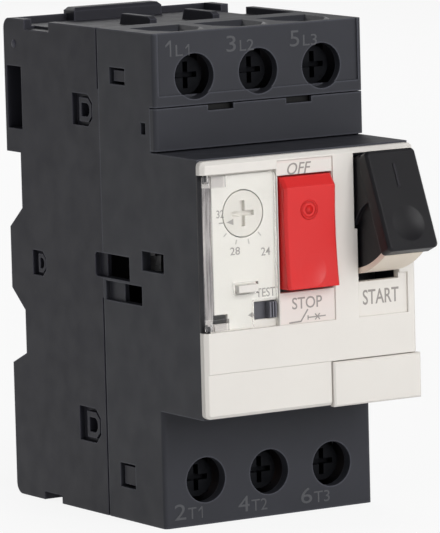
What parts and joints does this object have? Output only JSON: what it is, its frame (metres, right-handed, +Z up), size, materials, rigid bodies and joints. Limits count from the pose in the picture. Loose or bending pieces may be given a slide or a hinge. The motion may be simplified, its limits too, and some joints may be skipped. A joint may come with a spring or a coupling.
{
  "type": "motor protection switch",
  "caption": "Motor protection switch for rail mounting: stepped dark casing with screw terminals, white front with red STOP and black START buttons, and a setting dial under a clear flap.",
  "frame": {"origin": "middle of the rail seat: the plane that meets the rail's front face, mid-width and mid-height of the rail", "axes": "+X right seen from the front, +Y to the back towards the rail, +Z up"},
  "size_m": [0.0454, 0.079, 0.0901],
  "materials": {
    "casing_grey": "fine matt moulding grain",
    "cover_white": "satin moulding",
    "flap_clear": "clear polished",
    "dial_white": "satin moulding",
    "slide_grey": "satin moulding",
    "stop_red": "semi-gloss moulding",
    "start_black": "semi-gloss moulding",
    "skirt_beige": "satin moulding",
    "steel": "plain steel",
    "mechanism_plastic": "filled moulding",
    "copper": "plain copper alloy",
    "zinc_steel": "dark zinc plated",
    "fibre": "pressed fibre"
  },
  "bodies": {
    "casing": {"rear_casing": "casing_grey", "front_casing": "casing_grey", "auxiliary_cover": "casing_grey", "front_cover": "cover_white", "blanking_plate": "cover_white", "button_pin": "steel", "start_spring": "steel", "stop_spring": "steel", "latch_spring": "steel", "mechanism_frame": "steel", "trip_cores": "steel", "line_conductor_1": "copper", "return_conductor_1": "copper", "load_conductor_1": "copper", "trip_coil_1": "copper", "bimetal_1": "steel", "arc_chute_1": "steel", "arc_holder_1": "fibre", "line_conductor_2": "copper", "return_conductor_2": "copper", "load_conductor_2": "copper", "trip_coil_2": "copper", "bimetal_2": "steel", "arc_chute_2": "steel", "arc_holder_2": "fibre", "line_conductor_3": "copper", "return_conductor_3": "copper", "load_conductor_3": "copper", "trip_coil_3": "copper", "bimetal_3": "steel", "arc_chute_3": "steel", "arc_holder_3": "fibre"},
    "start": {"start_button": "start_black", "start_skirt": "skirt_beige"},
    "carrier": {"contact_carrier": "mechanism_plastic", "contact_springs": "steel", "moving_contact_1": "copper", "moving_contact_2": "copper", "moving_contact_3": "copper"},
    "stop": {"stop_button": "stop_red"},
    "dial": {"current_dial": "dial_white"},
    "test": {"test_slide": "slide_grey"},
    "trip": {"trip_bar": "mechanism_plastic"},
    "lever": {"latch_lever": "mechanism_plastic"},
    "flap": {"setting_flap": "flap_clear"},
    "rail_latch": {"din_latch": "mechanism_plastic"},
    "line_clamp_1": {"line_saddle_1": "zinc_steel"},
    "line_turner_1": {"line_screw_1": "zinc_steel"},
    "line_clamp_2": {"line_saddle_2": "zinc_steel"},
    "line_turner_2": {"line_screw_2": "zinc_steel"},
    "line_clamp_3": {"line_saddle_3": "zinc_steel"},
    "line_turner_3": {"line_screw_3": "zinc_steel"},
    "load_clamp_1": {"load_saddle_1": "zinc_steel"},
    "load_turner_1": {"load_screw_1": "zinc_steel"},
    "load_clamp_2": {"load_saddle_2": "zinc_steel"},
    "load_turner_2": {"load_screw_2": "zinc_steel"},
    "load_clamp_3": {"load_saddle_3": "zinc_steel"},
    "load_turner_3": {"load_screw_3": "zinc_steel"}
  },
  "joints": [
    {"name": "start_press", "type": "hinge", "parent": "casing", "child": "start", "pos_m": [0.0144, -0.0595, 0.0192], "axis": [1, 0, 0], "range_deg": [0, 23.01], "stiffness_Nm_per_rad": 0.15, "springref_deg": -5.73, "deforming": ["start_spring"]},
    {"name": "carrier_slide", "type": "slide", "parent": "casing", "child": "carrier", "axis": [0, 1, 0], "range_m": [0, 0.0028]},
    {"name": "stop_press", "type": "hinge", "parent": "casing", "child": "stop", "pos_m": [-0.00085, -0.0595, 0.0192], "axis": [1, 0, 0], "range_deg": [0, 6], "stiffness_Nm_per_rad": 0.15, "springref_deg": -5.73, "deforming": ["stop_spring"]},
    {"name": "dial_turn", "type": "hinge", "parent": "casing", "child": "dial", "pos_m": [-0.0136, -0.0622, 0.0131], "axis": [0, -1, 0], "range_deg": [0, 132]},
    {"name": "test_push", "type": "slide", "parent": "casing", "child": "test", "axis": [-1, 0, 0], "range_m": [0, 0.0028], "stiffness_N_per_m": 300, "springref_m": -0.001},
    {"name": "trip_slide", "type": "slide", "parent": "casing", "child": "trip", "axis": [-1, 0, 0], "range_m": [0, 0.0028]},
    {"name": "lever_turn", "type": "hinge", "parent": "casing", "child": "lever", "pos_m": [0.0105, -0.0416, 0.014], "axis": [0, 1, 0], "range_deg": [0, 17.84]},
    {"name": "flap_open", "type": "hinge", "parent": "casing", "child": "flap", "pos_m": [-0.0213, -0.0628, 0.0068], "axis": [0, 0, -1], "range_deg": [0, 110]},
    {"name": "rail_latch_pull", "type": "slide", "parent": "casing", "child": "rail_latch", "axis": [0, 0, -1], "range_m": [0, 0.004], "stiffness_N_per_m": 1500, "springref_m": -0.003, "deforming": ["latch_spring"]},
    {"name": "line_clamp_1_slide", "type": "slide", "parent": "casing", "child": "line_clamp_1", "axis": [0, 1, 0], "range_m": [0, 0.0042]},
    {"name": "line_turner_1_turn", "type": "hinge", "parent": "line_clamp_1", "child": "line_turner_1", "pos_m": [-0.0135, -0.0415, 0.0364], "axis": [0, 1, 0], "range_deg": [0, 2161]},
    {"name": "line_clamp_2_slide", "type": "slide", "parent": "casing", "child": "line_clamp_2", "axis": [0, 1, 0], "range_m": [0, 0.0042]},
    {"name": "line_turner_2_turn", "type": "hinge", "parent": "line_clamp_2", "child": "line_turner_2", "pos_m": [0, -0.0415, 0.0364], "axis": [0, 1, 0], "range_deg": [0, 2161]},
    {"name": "line_clamp_3_slide", "type": "slide", "parent": "casing", "child": "line_clamp_3", "axis": [0, 1, 0], "range_m": [0, 0.0042]},
    {"name": "line_turner_3_turn", "type": "hinge", "parent": "line_clamp_3", "child": "line_turner_3", "pos_m": [0.0135, -0.0415, 0.0364], "axis": [0, 1, 0], "range_deg": [0, 2161]},
    {"name": "load_clamp_1_slide", "type": "slide", "parent": "casing", "child": "load_clamp_1", "axis": [0, 1, 0], "range_m": [0, 0.0042]},
    {"name": "load_turner_1_turn", "type": "hinge", "parent": "load_clamp_1", "child": "load_turner_1", "pos_m": [-0.0135, -0.0415, -0.0364], "axis": [0, 1, 0], "range_deg": [0, 2161]},
    {"name": "load_clamp_2_slide", "type": "slide", "parent": "casing", "child": "load_clamp_2", "axis": [0, 1, 0], "range_m": [0, 0.0042]},
    {"name": "load_turner_2_turn", "type": "hinge", "parent": "load_clamp_2", "child": "load_turner_2", "pos_m": [0, -0.0415, -0.0364], "axis": [0, 1, 0], "range_deg": [0, 2161]},
    {"name": "load_clamp_3_slide", "type": "slide", "parent": "casing", "child": "load_clamp_3", "axis": [0, 1, 0], "range_m": [0, 0.0042]},
    {"name": "load_turner_3_turn", "type": "hinge", "parent": "load_clamp_3", "child": "load_turner_3", "pos_m": [0.0135, -0.0415, -0.0364], "axis": [0, 1, 0], "range_deg": [0, 2161]}
  ],
  "couplings": [
    {"joint": "start_press", "follows": "carrier_slide", "rad_per_m": 143.37},
    {"joint": "trip_slide", "follows": "test_push", "ratio": 1},
    {"joint": "lever_turn", "follows": "test_push", "rad_per_m": 111.11},
    {"joint": "line_turner_1_turn", "follows": "line_clamp_1_slide", "rad_per_m": 8976},
    {"joint": "line_turner_2_turn", "follows": "line_clamp_2_slide", "rad_per_m": 8976},
    {"joint": "line_turner_3_turn", "follows": "line_clamp_3_slide", "rad_per_m": 8976},
    {"joint": "load_turner_1_turn", "follows": "load_clamp_1_slide", "rad_per_m": 8976},
    {"joint": "load_turner_2_turn", "follows": "load_clamp_2_slide", "rad_per_m": 8976},
    {"joint": "load_turner_3_turn", "follows": "load_clamp_3_slide", "rad_per_m": 8976}
  ]
}
